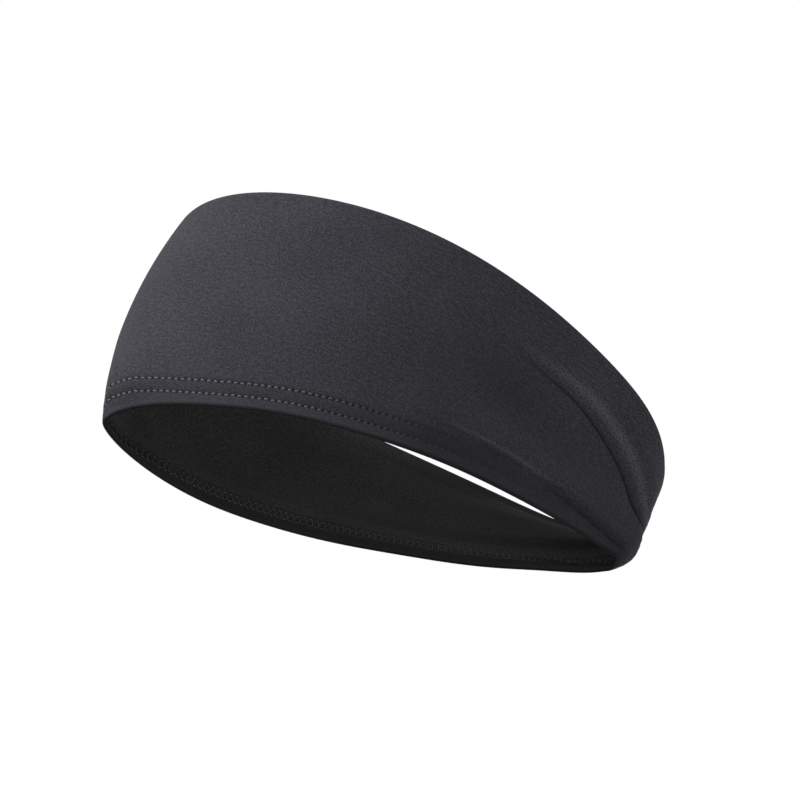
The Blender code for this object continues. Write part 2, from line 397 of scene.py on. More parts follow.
def pinch(share, height, depth):
    """How far stitches and the back seam draw the visible faces into the cloth."""
    rows = bell(height - LOWER_ROW, ROW_WIDTH) + bell(height - UPPER_ROW, ROW_WIDTH)
    drawn = ROW_DENT * rows + HOLE_DENT * hole_at(share, height) * tightness(share)
    from_seam = (1.0 - share) * HEM_LENGTH
    wave = np.sin(height * 2.0 * math.pi / PUCKER_LENGTH)
    pucker = PUCKER_DENT * wave * spike(from_seam, PUCKER_REACH)
    edges = hill(from_seam, *SEAM_DENT) + hill(depth - height, *TOP_DENT)
    return drawn - hill(height, *BETWEEN_ROWS) + pucker + edges


# ---------------------------------------------------------------- the whole surface

# How far the wall swells out between its two edges.
SIDE_SWELL = 1.0 * MM
FOREHEAD_SWELL = 5.0 * MM

# Flare of the top edge behind the ears, on both sides and on the +X side.
BACK_FLARE = (0.9 * MM, 0.94, 0.07)
NEAR_FLARE = (1.5 * MM, 0.87, 0.085)
FLARE_RISE = (0.5, 1.0)

# Unevenness of the knit: its size, and its waves round and up the band in radians per metre.
BROAD_DRAPE, BROAD_AROUND, BROAD_UP = 0.22 * MM, 61.0, 38.0
BROAD_BANDS, BAND_PHASE = 57.0, 0.6
FINE_DRAPE, FINE_AROUND, FINE_UP = 0.05 * MM, 190.0, 120.0
DRAPE_FROM_HEM, DRAPE_FROM_TOP = (0.0, 0.2), (0.0, 0.1)

# Way from the forehead to the centre back along a panel that lies flat: half of its width.
FLAT_HALF_WIDTH = 0.24


def drape(side, share, height, up):
    """Slight unevenness of the knit as it is stretched, none at both edges."""
    around = share * FLAT_HALF_WIDTH
    bands = np.sin(height * BROAD_BANDS + BAND_PHASE)
    broad = np.sin(around * BROAD_AROUND + height * BROAD_UP + side) * bands
    fine = np.sin(around * FINE_AROUND - height * FINE_UP + 2.0 * side)
    inner = smooth(up, *DRAPE_FROM_HEM) * smooth(1.0 - up, *DRAPE_FROM_TOP)
    return (BROAD_DRAPE * broad + FINE_DRAPE * fine) * inner


def top_flare(side, share, up):
    """How far the top edge leans out behind the ears."""
    both = hill(share, *BACK_FLARE)
    near = np.maximum(both, hill(share, *NEAR_FLARE))
    return np.where(side > 0.0, near, both) * smooth(up, *FLARE_RISE)


def folds(share, height, depth, lining):
    """How far the cloth is folded outward by the gathers and by the tight hem."""
    gathers = gathered_fold(share, height, depth)
    puff = hem_puff(share, height)
    if lining:
        clear = smooth(height, *LINING_FROM_HEM) * smooth(depth - height, *LINING_FROM_TOP)
        hollow = np.minimum(lining_fold(share, height, depth), gathers)
        gathers = gathers + (hollow - gathers) * clear
        puff = np.minimum(LINING_PUFF * puff, puff)
    return gathers + puff + hem_draw(share, height) + brow(share, height)


def surface(side, share, height, inset, lining=False):
    """World positions of places on the cloth, as an array with one row each."""
    side, share, height, inset = np.broadcast_arrays(side, share, height, inset)
    hem_x, hem_y, hem_nx, hem_ny = sample(HEM, share)
    top_x, top_y, depth, top_nx, top_ny = sample(TOP, share)
    up = height / depth
    down = 1.0 - up
    normal_x = hem_nx * down + top_nx * up
    normal_y = hem_ny * down + top_ny * up
    length = np.hypot(normal_x, normal_y)
    forward = np.maximum(-hem_y / HEM_HALF_LENGTH, 0.0)
    out = (SIDE_SWELL + FOREHEAD_SWELL * forward) * 4.0 * up * down
    out = out + folds(share, height, depth, lining)
    out = out + top_flare(side, share, up) + drape(side, share, height, up)
    squeeze = 1.0 + 2.0 * inset / stack_thickness(height, depth)
    out = out + inset - pinch(share, height, depth) * squeeze
    x = hem_x * down + top_x * up + normal_x / length * out
    y = hem_y * down + top_y * up + normal_y / length * out
    x = side * (x + ease(share) * down) + sway(share) * down
    return np.stack([x, y - back_tuck(share, height), height], axis=-1)


# ---------------------------------------------------------------- painted shade and painted highlights on the cloth

# Painted shade of the crease, of the groove under the puff, and of the folds at both edges.
CREASE_SHADE, CREASE_SHADE_WIDTHS = 0.95, (0.4 * MM, 0.2 * MM)
CREASE_SHADE_GROW, CREASE_SHADE_FADE = (0.60, 0.78), (0.975, 1.0)
GROOVE_SHADE, GROOVE_SHADE_FADE = 0.7, (0.95, 1.0)
FOLD_SHADE, FOLD_SHADE_RANGE = 0.45, (0.3 * MM, 1.3 * MM)

# Painted shade of the hem band, and how much more of it there is towards the back.
HEM_SHADE, HEM_SHADE_BACK = 0.22, 0.18
HEM_SHADE_GROW = (0.45, 0.62)
HEM_SHADE_END = (-3.0 * MM, 0.5 * MM)

# Painted shade of the hollow below the crease, of the middle of the side, and of the back corner.
HOLLOW_SHADE = (0.20, -14.0 * MM, 9.0 * MM)
HOLLOW_SHADE_GROW, HOLLOW_SHADE_FADE = (0.50, 0.70), (0.90, 1.0)
SIDE_SHADE, SIDE_SHADE_LOW = 0.27, (0.06, 25.0 * MM, 20.0 * MM)
SIDE_SHADE_AT = (1.0, 0.60, 0.14)
CORNER_SHADE, CORNER_GROW = 0.25, (0.93, 0.98)
CORNER_END = (12.0 * MM, 24.0 * MM)

# Painted highlights along the ridge above the crease, and along the crest of the puff.
RIDGE_HIGHLIGHT = (0.85, 2.5 * MM, 0.9 * MM)
CREST_GROW, CREST_FADE = (0.57, 0.63), (0.74, 0.82)
CREST_HIGHLIGHT_WIDTH = 0.35 * MM

# Painted shade of the lining: above the hem, below the top edge, along the side, and on the hem
# strip.
LINING_LOW = (0.35, 19.0 * MM, 7.0 * MM)
LINING_HIGH, LINING_HIGH_RANGE = 0.75, (8.0 * MM, 34.0 * MM)
LINING_BACK_GROW, LINING_HEM_GROW = (0.42, 0.66), (9.0 * MM, 14.0 * MM)
LINING_SIDE, LINING_SIDE_GROW = (0.30, 0.38, 0.12), (40.0 * MM, 62.0 * MM)
HEM_STRIP, HEM_STRIP_END = 0.55, (9.0 * MM, 12.5 * MM)
HEM_EDGE, HEM_EDGE_END = 0.25, (2.5 * MM, 6.0 * MM)


def cloth_shade(share, height, depth):
    """How deep the painted shade on the outer cloth is, from 0 to 1: in the crease, the groove, the
    hollows, the hem band, the back corner and the folds at both edges.
    """
    above = height - crease_height(share, depth)
    above_puff = height - puff_height(share)
    crease = CREASE_SHADE * spike(above, two_sided(above, CREASE_SHADE_WIDTHS))
    crease = crease * span(share, CREASE_SHADE_GROW, CREASE_SHADE_FADE)
    groove = GROOVE_SHADE * spike(above_puff + GROOVE_DROP, GROOVE_WIDTH)
    groove = groove * span(share, GROOVE_GROW, GROOVE_SHADE_FADE)
    band = HEM_SHADE + HEM_SHADE_BACK * smooth(share, *HEM_SHADE_GROW)
    band_top = np.minimum(puff_height(share), HEM_ALLOWANCE)
    band = band * fading(height - band_top, *HEM_SHADE_END)
    hollow = span(share, HOLLOW_SHADE_GROW, HOLLOW_SHADE_FADE) * hill(above, *HOLLOW_SHADE)
    middle = (SIDE_SHADE + hill(height, *SIDE_SHADE_LOW)) * hill(share, *SIDE_SHADE_AT)
    corner = CORNER_SHADE * smooth(share, *CORNER_GROW) * fading(height, *CORNER_END)
    edges = FOLD_SHADE * fading(np.minimum(height, depth - height), *FOLD_SHADE_RANGE)
    return np.clip(crease + groove + band + hollow + middle + corner + edges, 0.0, 1.0)


def cloth_rub(share, height, depth):
    """How strong the painted highlight on the outer cloth is along the ridge above the crease and
    the crest of the puff.
    """
    above = height - crease_height(share, depth)
    ridge = span(share, CREASE_SHADE_GROW, CREASE_SHADE_FADE) * hill(above, *RIDGE_HIGHLIGHT)
    crest = span(share, CREST_GROW, CREST_FADE) * bell(height - puff_height(share), CREST_HIGHLIGHT_WIDTH)
    return ridge + crest


def lining_shade(share, height, depth):
    """How deep the painted shade on the lining is: in its hollow, where little light reaches, along
    the side and on the hem strip.
    """
    hollow = hill(height, *LINING_LOW) + LINING_HIGH * fading(depth - height, *LINING_HIGH_RANGE)
    hollow = hollow * smooth(share, *LINING_BACK_GROW) * smooth(height, *LINING_HEM_GROW)
    middle = hill(share, *LINING_SIDE) * smooth(height, *LINING_SIDE_GROW)
    strip = HEM_STRIP * fading(height, *HEM_STRIP_END) + HEM_EDGE * fading(height, *HEM_EDGE_END)
    return hollow + middle + strip


# ---------------------------------------------------------------- meshes

# Detail of the panels: columns round the band, and rows up its wall.
COLUMNS_PER_STITCH = 4
WALL_ROWS = 131
ROW_SAMPLES = 400
HEM_ROWS = (2.2, 0.0, 13.0 * MM)
TOP_ROWS = (1.5, 0.0, 3.0 * MM)
CREASE_ROWS = (4.0, 0.0, 3.0 * MM)
HEM_ALLOWANCE_ROWS = 14
TOP_ALLOWANCE_ROWS = 5
OUTER_FOLD_STEPS = 9
INNER_FOLD_STEPS = 4


def cloth_map(mesh, first, second):
    """A UV map in metres: along and across the cloth, or along a thread and round it in turns."""
    places = np.stack(np.broadcast_arrays(first, second), axis=-1).reshape(-1, 2)
    layer = mesh.uv_layers.new(name="cloth")
    corners = np.empty(len(mesh.loops), np.int32)
    mesh.loops.foreach_get("vertex_index", corners)
    layer.data.foreach_set("uv", places[corners].astype(np.float32).ravel())


def point_values(mesh, **values):
    """Stores a number at each point of the mesh, for the materials to read by its name."""
    for name, numbers in values.items():
        attribute = mesh.attributes.new(name, "FLOAT", "POINT")
        attribute.data.foreach_set("value", numbers.ravel().astype(np.float32))


def finish_mesh(mesh):
    """Turns the faces outward and shades them smooth."""
    shape = bmesh.new()
    shape.from_mesh(mesh)
    bmesh.ops.recalc_face_normals(shape, faces=shape.faces)
    shape.to_mesh(mesh)
    shape.free()
    mesh.shade_smooth()


def arc(centre, radius, start, end, steps):
    """(inward, height) pairs round a fold without its two ends, angles in degrees."""
    angles = np.radians(np.linspace(start, end, steps))[1:-1]
    return [(centre + radius * math.cos(a), radius * math.sin(a)) for a in angles]


def wall_rows(share, depth, low):
    """Heights of the visible face's rows: close together at the hem, the top and the crease."""
    height = np.linspace(low, depth - FOLD_RADIUS, ROW_SAMPLES)
    density = 1.0 + hill(height, *HEM_ROWS) + hill(depth - height, *TOP_ROWS)
    density += hill(height - crease_height(share, depth), *CREASE_ROWS)
    rows_below = np.concatenate([[0.0], np.cumsum((density[1:] + density[:-1]) / 2)])
    return np.interp(np.linspace(0.0, rows_below[-1], WALL_ROWS), rows_below, height)


def panel_profile(share, depth, recess):
    """Outline of a panel as (inward, height) pairs at one place round the band.

    Inward is counted from the panel's visible face. The wall runs up the middle, and an
    allowance is turned in behind it at the hem and at the top edge. The hem fold lies at the
    recess above the band's hem edge.
    """
    near = CLOTH + LAYER_GAP
    far = near + CLOTH
    centre = CLOTH + LAYER_GAP / 2
    slot = LAYER_GAP / 2
    low = recess + FOLD_RADIUS
    top = depth - FOLD_RADIUS
    rows = wall_rows(share, depth, low)
    allowance = np.linspace(low, HEM_ALLOWANCE, HEM_ALLOWANCE_ROWS)
    tuck = np.linspace(top, depth - TOP_ALLOWANCE, TOP_ALLOWANCE_ROWS)
    outline = [(0.0, height) for height in reversed(rows)]
    outline += [(x, low + z) for x, z in arc(centre, FOLD_RADIUS, 180, 360, OUTER_FOLD_STEPS)]
    outline += [(far, height) for height in allowance]
    outline += [(near, height) for height in reversed(allowance)]
    outline += [(x, low + z) for x, z in arc(centre, slot, 0, -180, INNER_FOLD_STEPS)]
    outline += [(CLOTH, height) for height in rows[::2]]
    outline += [(x, top + z) for x, z in arc(centre, slot, 180, 0, INNER_FOLD_STEPS)]
    outline += [(near, height) for height in tuck]
    outline += [(far, height) for height in reversed(tuck)]
    outline += [(x, top + z) for x, z in arc(centre, FOLD_RADIUS, 0, 180, OUTER_FOLD_STEPS)]
    return np.array(outline)


def strip_faces(columns, size):
    """Quads between neighbouring closed outlines of a strip, and a cap at each of its ends."""
    start = np.arange(columns - 1)[:, None] * size
    this = start + np.arange(size)
    following = start + (np.arange(size) + 1) % size
    quads = np.stack([this, this + size, following + size, following], axis=-1)
    last = (columns - 1) * size
    caps = [list(range(size)), list(range(last + size - 1, last - 1, -1))]
    return quads.reshape(-1, 4).tolist() + caps


def panel_mesh(name, lining):
    """A strip of cloth from the back seam round the forehead to the back seam again."""
    half = STITCHES_PER_HALF * COLUMNS_PER_STITCH
    column = np.arange(-half, half + 1)[:, None]
    share = np.abs(column) / half
    side = np.where(column <= 0, 1.0, -1.0)
    depth = depth_at(share)
    recess = LINING_RECESS if lining else 0.0
    places = zip(share[:, 0], depth[:, 0])
    outlines = np.stack([panel_profile(*place, recess) for place in places])
    inward, height = outlines[..., 0], outlines[..., 1]
    inset = inward - stack_thickness(height, depth) if lining else -inward
    points = surface(side, share, height, inset, lining)
    mesh = bpy.data.meshes.new(name)
    mesh.from_pydata(points.reshape(-1, 3).tolist(), [], strip_faces(*inward.shape))
    steps = np.linalg.norm(np.diff(points, axis=1), axis=2)
    along = np.pad(np.cumsum(steps, axis=1), ((0, 0), (1, 0)))
    cloth_map(mesh, -side * share * FLAT_HALF_WIDTH, along)
    hole = hole_at(share, height)
    point_values(mesh, from_hem=height, from_top=depth - height)
    if lining:
        # The shade attribute holds painted shade of the lining.
        point_values(mesh, hole=hole, shade=lining_shade(share, height, depth))
    else:
        # The shade attribute holds painted shade of the outer cloth.
        point_values(mesh, hole=hole * tightness(share), shade=cloth_shade(share, height, depth))
        # Painted highlight along the ridge above the crease and the crest of the puff.
        point_values(mesh, rub=cloth_rub(share, height, depth))
    finish_mesh(mesh)
    return mesh


# ---------------------------------------------------------------- threads

THREAD_SIDES = 8

# Needle threads. Depths are insets, and phases go from 0 to 1 between two holes.
NEEDLE_STEPS = 16
NEEDLE_RADIUS = 0.23 * MM
NEEDLE_DEPTH = 1.05 * MM
NEEDLE_ARCH, NEEDLE_ARCH_POWER = 1.20 * MM, 1.3
NEEDLE_SUNK, NEEDLE_SUNK_RANGE = 0.32 * MM, (0.30, 0.62)
NEEDLE_UNDER_PUFF = (0.50 * MM, 0.0, 2.5 * MM)
NEEDLE_UNEVEN = 0.09 * MM
NEEDLE_WANDER = 0.07 * MM
# Range of shares over which painted shade darkens the needle thread towards the back.
NEEDLE_SHADE_RANGE = (0.28, 0.52)
LOOP_PHASE = 0.15
LOOP_DEPTH = 0.42 * MM
LOOP_CURVE = 16.0 * MM

# Looper thread, laced between both rows on the inside.
LOOPER_STEPS = 20
LOOPER_RADIUS = 0.13 * MM
LOOPER_OVERLAP = 0.25 * MM
LOOPER_HEIGHT = 0.16 * MM
LOOPER_WEAVE = 0.12 * MM
LOOPER_LEAN = 0.2
LOOPER_ROUNDNESS = 0.7

# Overlock thread round the raw edges under the top edge.
OVERLOCK_STEPS = 12
OVERLOCK_RADIUS = 0.07 * MM
OVERLOCK_REACH = 1.4 * MM
OVERLOCK_FILL = 0.8
OVERLOCK_SQUARENESS = 1.8

# Back seam threads.
BACK_SEAM_STEPS = 97
BACK_SEAM_RADIUS = 0.12 * MM
BACK_SEAM_SWING = 0.9 * MM
BACK_SEAM_INSET = CLOTH + 0.2 * MM


def tube_faces(count, closed):
    """Quads round a tube of count rings, with a cap at each end unless it is closed."""
    ring = np.arange(count if closed else count - 1)[:, None]
    row = ring * THREAD_SIDES
    next_row = (ring + 1) % count * THREAD_SIDES
    turn = np.arange(THREAD_SIDES)
    next_turn = (turn + 1) % THREAD_SIDES
    corners = [row + turn, row + next_turn, next_row + next_turn, next_row + turn]
    faces = np.stack(corners, axis=-1).reshape(-1, 4).tolist()
    if not closed:
        last = (count - 1) * THREAD_SIDES
        faces.append(list(range(THREAD_SIDES - 1, -1, -1)))
        faces.append(list(range(last, last + THREAD_SIDES)))
    return faces


def tube_mesh(name, points, normals, radius, closed):
    """A round thread along the points, with a UV map of length and turn."""
    following = np.roll(points, -1, axis=0)
    previous = np.roll(points, 1, axis=0)
    if not closed:
        following[-1] = points[-1]
        previous[0] = points[0]
    run = unit(following - previous)
    across = unit(np.cross(run, normals))
    up = np.cross(across, run)
    angle = np.linspace(0.0, 2.0 * math.pi, THREAD_SIDES, endpoint=False)
    ring = np.cos(angle)[:, None] * across[:, None] + np.sin(angle)[:, None] * up[:, None]
    grid = points[:, None] + radius * ring
    mesh = bpy.data.meshes.new(name)
    mesh.from_pydata(grid.reshape(-1, 3).tolist(), [], tube_faces(len(points), closed))
    steps = np.linalg.norm(np.diff(points, axis=0), axis=1)
    length = np.concatenate([[0.0], np.cumsum(steps)])
    cloth_map(mesh, length[:, None], angle / (2.0 * math.pi))
    finish_mesh(mesh)
    return mesh


def place_round(along):
    """Side and share of places counted in stitches from the forehead, the +X side first."""
    turn = np.mod(along, ALL_STITCHES) / STITCHES_PER_HALF
    return np.where(turn <= 1.0, 1.0, -1.0), np.minimum(turn, 2.0 - turn)


def outward(side, share):
    """Outward horizontal normals of the band."""
    _, _, normal_x, normal_y = sample(HEM, share)
    return unit(np.stack([side * normal_x, normal_y, np.zeros_like(normal_x)], axis=-1))


def ring_tube(name, along, height, inset, radius, on_lining):
    """A closed thread round the band. along counts stitches from the forehead.

    The points where on_lining is true lie on the lining, and the others on the outer cloth.
    """
    side, share = place_round(along)
    outside = surface(side, share, height, inset)
    inside = surface(side, share, height, inset, lining=True)
    points = np.where(np.broadcast_to(on_lining, share.shape)[:, None], inside, outside)
    return tube_mesh(name, points, outward(side, share), radius, True)


def needle_thread(name, row, seed):
    """Stitches that rise out of the cloth between holes, and show as small loops inside."""
    chance = np.random.default_rng(seed)
    index = np.repeat(np.arange(ALL_STITCHES), NEEDLE_STEPS)
    phase = np.tile(np.arange(NEEDLE_STEPS) / NEEDLE_STEPS, ALL_STITCHES)
    from_hole = np.minimum(phase, 1.0 - phase)
    arch = np.sin(math.pi * phase) ** NEEDLE_ARCH_POWER
    _, share = place_round(index + phase)
    sunk = NEEDLE_SUNK * smooth(share, *NEEDLE_SUNK_RANGE)
    sunk = sunk + hill(row - puff_height(share), *NEEDLE_UNDER_PUFF)
    uneven = np.abs(chance.normal(0.0, NEEDLE_UNEVEN, ALL_STITCHES))[index]
    wander = chance.normal(0.0, NEEDLE_WANDER, ALL_STITCHES)[index] * arch
    outside = NEEDLE_ARCH * arch - NEEDLE_DEPTH - sunk - uneven
    inside = LOOP_CURVE * from_hole**2 - EDGE_STACK - LOOP_DEPTH
    in_loop = from_hole < LOOP_PHASE
    inset = np.where(in_loop, inside, outside)
    mesh = ring_tube(name, index + phase, row + wander, inset, NEEDLE_RADIUS, in_loop)
    # Painted shade: the needle thread darkens towards the back.
    thread_shade = smooth(share, *NEEDLE_SHADE_RANGE)
    point_values(mesh, shade=np.repeat(thread_shade, THREAD_SIDES))
    return mesh


def looper_thread(name):
    """The looper's interlaced loops between both rows, on the inside of the hem."""
    turn = np.arange(ALL_STITCHES * LOOPER_STEPS) / LOOPER_STEPS
    swing = np.cos(2.0 * math.pi * turn)
    twice = np.sin(4.0 * math.pi * turn)
    across = np.sign(swing) * np.abs(swing) ** LOOPER_ROUNDNESS
    middle = (LOWER_ROW + UPPER_ROW) / 2
    reach = (UPPER_ROW - LOWER_ROW) / 2 + LOOPER_OVERLAP
    inset = -EDGE_STACK - LOOPER_HEIGHT - LOOPER_WEAVE * twice
    along = turn - LOOPER_LEAN * twice
    return ring_tube(name, along, middle + reach * across, inset, LOOPER_RADIUS, True)


def overlock_thread(name):
    """Loops that wrap the raw edges under the top edge, hidden between the panels."""
    turn = np.arange(ALL_STITCHES * OVERLOCK_STEPS) / OVERLOCK_STEPS
    angle = 2.0 * math.pi * turn
    across = np.clip(OVERLOCK_SQUARENESS * np.cos(angle), -1.0, 1.0)
    inset = -EDGE_STACK / 2 + (EDGE_STACK / 2 - CLOTH) * OVERLOCK_FILL * across
    _, share = place_round(turn)
    height = depth_at(share) - TOP_ALLOWANCE + OVERLOCK_REACH * np.sin(angle)
    return ring_tube(name, turn, height, inset, OVERLOCK_RADIUS, False)


def back_seam_thread(name, inset):
    """A ladder of stitches across the ends of one panel at the centre back."""
    low = HEM_ALLOWANCE + EASE_MARGIN
    high = BACK_DEPTH - TOP_ALLOWANCE - 2 * EASE_MARGIN
    height = np.linspace(low, high, BACK_SEAM_STEPS)
    swing = BACK_SEAM_SWING * np.sin((height - low) * 2.0 * math.pi / STITCH)
    side = np.where(swing >= 0.0, 1.0, -1.0)
    share = 1.0 - np.abs(swing) / HEM_LENGTH
    points = surface(side, share, height, inset)
    return tube_mesh(name, points, outward(side, share), BACK_SEAM_RADIUS, False)


# ---------------------------------------------------------------- materials

# Knit: the size of one stitch of the jersey, the wear along both edges, and how dark the painted
# shade in needle holes and in shaded places is.
WALE, COURSE = 0.62 * MM, 0.50 * MM
STITCH_SLANT = 1.1
SLUB_SCALE = (420.0, 800.0, 1.0)
WEAR, WEAR_RANGE = 0.4, (0.3 * MM, 1.8 * MM)
HOLE_SHADE_TONE = 0.2
SHADED_TONE = 0.55

# Thread: the length of one twist, how many plies it has, and how dark the painted shade on the
# needle thread is.
TWIST = 0.9 * MM
PLIES = 3.0
THREAD_SHADE_TONE = 0.75


class Nodes:
    """Adds nodes to a material and links them."""

    def __init__(self, name):
        self.material = bpy.data.materials.new(name)
        self.material.use_nodes = True
        self.tree = self.material.node_tree
        self.shader = self.tree.nodes["Principled BSDF"]

    def put(self, socket, value):
        if isinstance(value, bpy.types.NodeSocket):
            self.tree.links.new(value, socket)
        else:
            socket.default_value = value

    def set(self, **values):
        """Sets the shader's inputs, named in lower case with _ for a space."""
        names = {socket.name.lower().replace(" ", "_"): socket for socket in self.shader.inputs}
        for name, value in values.items():
            self.put(names[name], value)

    def add(self, kind, *inputs, out=0, **settings):
        node = self.tree.nodes.new(kind)
        for key, value in settings.items():
            setattr(node, key, value)
        for socket, value in zip(node.inputs, inputs):
            self.put(socket, value)
        return node.outputs[out]

    def split(self, vector):
        """The vector's first two parts."""
        node = self.tree.nodes.new("ShaderNodeSeparateXYZ")
        self.put(node.inputs[0], vector)
        return node.outputs[0], node.outputs[1]

    def math(self, operation, *inputs):
        return self.add("ShaderNodeMath", *inputs, operation=operation)

    def wave(self, turns):
        return self.math("SINE", self.math("MULTIPLY", turns, 2.0 * math.pi))

    def scaled(self, vector, scale):
        return self.add("ShaderNodeVectorMath", vector, scale, operation="MULTIPLY")

    def mix(self, factor, low, high):
        node = self.tree.nodes.new("ShaderNodeMix")
        node.data_type = "RGBA"
        self.put(node.inputs["Factor"], factor)
        self.put(node.inputs["A"], low)
        self.put(node.inputs["B"], high)
        return node.outputs["Result"]

    def noise(self, vector, scale, detail=2.0, roughness=0.5):
        node = self.tree.nodes.new("ShaderNodeTexNoise")
        self.put(node.inputs["Vector"], vector)
        node.inputs["Scale"].default_value = scale
        node.inputs["Detail"].default_value = detail
        node.inputs["Roughness"].default_value = roughness
        return node.outputs["Fac"]

    def attribute(self, name):
        node = self.tree.nodes.new("ShaderNodeAttribute")
        node.attribute_name = name
        return node.outputs["Fac"]

    def ramp(self, value, low, high, start, end):
        """low up to start, high from end on, a straight run between them."""
        node = self.tree.nodes.new("ShaderNodeMapRange")
        self.put(node.inputs["Value"], value)
        node.inputs["From Min"].default_value = start
        node.inputs["From Max"].default_value = end
        node.inputs["To Min"].default_value = low
        node.inputs["To Max"].default_value = high
        return node.outputs["Result"]

    def bump(self, height, strength, distance):
        node = self.tree.nodes.new("ShaderNodeBump")
        node.inputs["Strength"].default_value = strength
        node.inputs["Distance"].default_value = distance
        self.put(node.inputs["Height"], height)
        return node.outputs["Normal"]


def toned(colour, tone=1.0):
    """The colour times the tone, with an alpha of 1."""
    return (*[part * tone for part in colour], 1.0)


def knit_loops(nodes, cloth):
    """V-shaped stitches of jersey: 1 along the crown of each leg, falling to -1 between them."""
    across, up = nodes.split(nodes.scaled(cloth, (1.0 / WALE, 1.0 / COURSE, 1.0)))
    leg = nodes.math("ABSOLUTE", nodes.math("SUBTRACT", nodes.math("FRACT", across), 0.5))
    row = nodes.math("ADD", up, nodes.math("MULTIPLY", leg, STITCH_SLANT))
    row_wave = nodes.wave(row)
    return nodes.math("MULTIPLY", nodes.wave(leg), nodes.ramp(row_wave, 0.45, 1.0, -1.0, 1.0))


def knit_material(name, dark, light, wear_and_highlight, sheen):
    """Fine jersey of marl yarn: V stitches, flecks, pilling, and soft wear along the edges, with
    painted shade and a painted highlight.
    """
    nodes = Nodes(name)
    cloth = nodes.add("ShaderNodeUVMap", uv_map="cloth")
    loops = knit_loops(nodes, cloth)
    fleck = nodes.noise(cloth, scale=1400.0, roughness=0.6)
    streak = nodes.noise(nodes.scaled(cloth, SLUB_SCALE), scale=1.0, roughness=0.6)
    blotch = nodes.noise(cloth, scale=34.0, detail=3.0, roughness=0.55)
    fuzz = nodes.noise(cloth, scale=5200.0, roughness=0.6)

    tone = nodes.ramp(fleck, low=-0.06, high=0.78, start=0.34, end=0.72)
    tone = nodes.math("ADD", tone, nodes.ramp(streak, low=-0.20, high=0.20, start=0.3, end=0.7))
    tone = nodes.math("ADD", tone, nodes.ramp(blotch, low=-0.08, high=0.08, start=0.3, end=0.7))
    # Painted shade and highlight of the stitches: the crowns of the knit legs lighter, the gaps
    # between them darker.
    tone = nodes.math("ADD", tone, nodes.ramp(loops, low=-0.10, high=0.10, start=0.0, end=1.0))
    colour = nodes.mix(tone, toned(dark), toned(light))

    distances = (nodes.attribute("from_hem"), nodes.attribute("from_top"))
    near_edge = [nodes.ramp(value, WEAR, 0.0, *WEAR_RANGE) for value in distances]
    worn_edge = nodes.math("MULTIPLY", nodes.math("MAXIMUM", *near_edge), nodes.noise(cloth, 700.0))
    colour = nodes.mix(worn_edge, colour, toned(wear_and_highlight))
    # Painted shade in the needle holes.
    hole_shade = nodes.ramp(nodes.attribute("hole"), low=0.0, high=0.95, start=0.08, end=0.6)
    colour = nodes.mix(hole_shade, colour, toned(dark, HOLE_SHADE_TONE))
    # Painted highlight along the ridge and the crest, speckled by the flecks.
    fibres = nodes.ramp(fleck, low=0.1, high=0.9, start=0.3, end=0.7)
    rubbed = nodes.math("MULTIPLY", nodes.attribute("rub"), fibres)
    colour = nodes.mix(rubbed, colour, toned(wear_and_highlight))
    # Painted shade: the shade attribute darkens the cloth towards a dark tone.
    colour = nodes.mix(nodes.attribute("shade"), colour, toned(dark, SHADED_TONE))

    relief = nodes.math("MULTIPLY", loops, 0.7)
    relief = nodes.math("ADD", relief, nodes.math("MULTIPLY", fuzz, 0.5))
    relief = nodes.math("ADD", relief, nodes.math("MULTIPLY", fleck, 0.6))
    nodes.set(
        base_color=colour,
        roughness=nodes.ramp(streak, low=0.78, high=0.95, start=0.2, end=0.8),
        normal=nodes.bump(relief, strength=0.45, distance=0.12 * MM),
        specular_ior_level=0.06,
        sheen_weight=sheen,
        sheen_roughness=0.55,
    )
    return nodes.material


def thread_material(name, dark, light, roughness):
    """Spun thread: plies twisted round it, with a painted highlight on the crown of each ply, and
    fibres of random tone.
    """
    nodes = Nodes(name)
    length, turn = nodes.split(nodes.add("ShaderNodeUVMap", uv_map="cloth"))
    twist = nodes.math("MULTIPLY", length, 1.0 / TWIST)
    ply = nodes.wave(nodes.math("ADD", twist, nodes.math("MULTIPLY", turn, PLIES)))
    position = nodes.add("ShaderNodeTexCoord", out=3)
    fibre = nodes.noise(position, scale=6000.0, detail=3.0, roughness=0.6)
    # Painted highlight on the crown of each ply.
    crown = nodes.ramp(ply, low=0.0, high=0.6, start=-1.0, end=1.0)
    tone = nodes.math("ADD", crown, nodes.math("MULTIPLY", fibre, 0.5))
    colour = nodes.mix(tone, toned(dark), toned(light))
    nodes.set(
        # Painted shade from the shade attribute darkens the thread.
        base_color=nodes.mix(nodes.attribute("shade"), colour, toned(dark, THREAD_SHADE_TONE)),
        roughness=nodes.ramp(fibre, roughness - 0.1, roughness + 0.1, start=0.2, end=0.8),
        normal=nodes.bump(tone, strength=0.5, distance=0.06 * MM),
        specular_ior_level=0.1,
        sheen_weight=0.02,
    )
    return nodes.material


def floor_material():
    """Pale matt paper with a faint unevenness."""
    nodes = Nodes("pale_paper")
    position = nodes.add("ShaderNodeTexCoord", out=3)
    grain = nodes.noise(position, scale=3.0, detail=4.0)
    paper = nodes.mix(grain, toned((0.86, 0.86, 0.86)), toned((0.92, 0.92, 0.92)))
    nodes.set(base_color=paper, roughness=0.9)
    return nodes.material


# ---------------------------------------------------------------- making the pieces


def put_piece(mesh, material, node):
    """Adds a piece with the mesh's name that stands for a CAD node."""
    piece = bpy.data.objects.new(mesh.name, mesh)
    mesh.materials.append(material)
    bpy.context.scene.collection.objects.link(piece)
    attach(piece, "root")
    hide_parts(node)
    return piece


